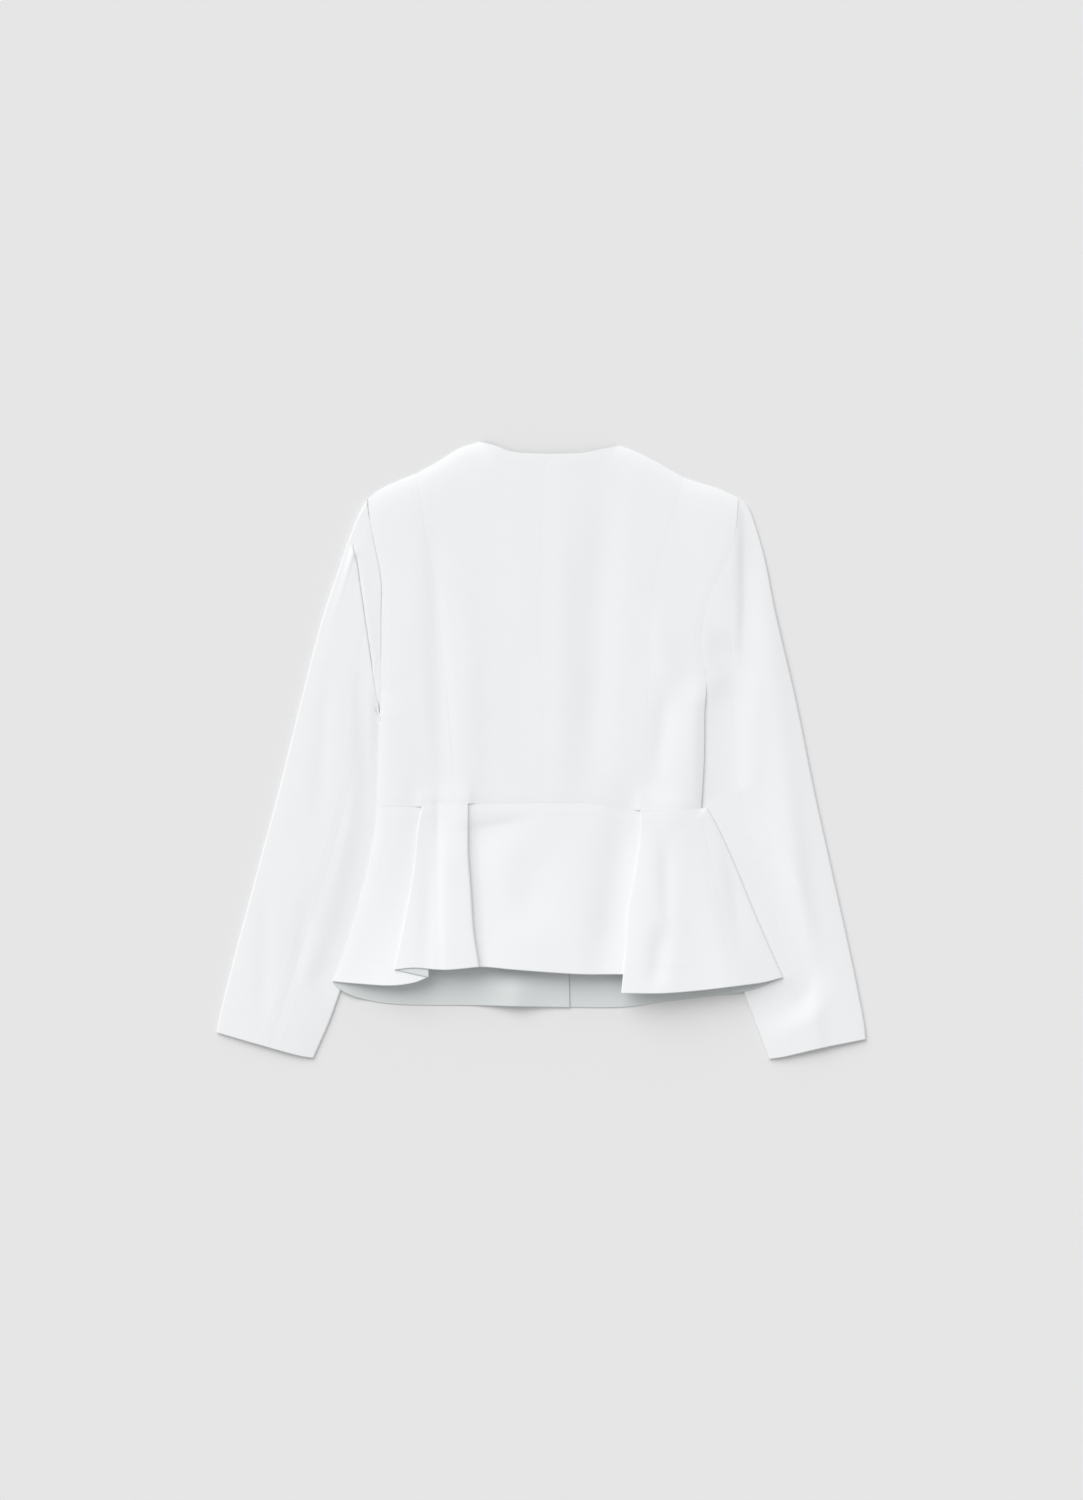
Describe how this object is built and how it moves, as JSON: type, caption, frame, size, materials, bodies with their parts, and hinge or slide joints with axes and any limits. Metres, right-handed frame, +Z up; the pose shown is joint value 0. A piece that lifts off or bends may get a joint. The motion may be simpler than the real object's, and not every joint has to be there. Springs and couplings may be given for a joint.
{
  "type": "peplum jacket",
  "caption": "White collarless tailored jacket with long sleeves and a pleated peplum, laid flat and face down as one stiff piece.",
  "frame": {"origin": "on the ground, below the middle of the laid jacket's outline", "axes": "+Z up from the ground through the jacket's back, +Y towards the neck, +X towards the jacket's right sleeve as seen from above"},
  "size_m": [0.6941, 0.6592, 0.0177],
  "materials": {
    "shell": "matte white woven crepe",
    "shell_front": "matte white woven crepe, shaded side"
  },
  "bodies": {
    "root": {"back_centre_left": "shell", "back_centre_right": "shell", "back_side_left": "shell", "back_side_right": "shell", "front_left": "shell_front", "front_right": "shell_front", "peplum_back_centre": "shell", "peplum_side_left": "shell", "peplum_side_right": "shell", "peplum_front_left": "shell_front", "peplum_front_right": "shell_front", "sleeve_left_top": "shell", "sleeve_left_under": "shell", "sleeve_right_top": "shell", "sleeve_right_under": "shell"}
  },
  "joints": []
}
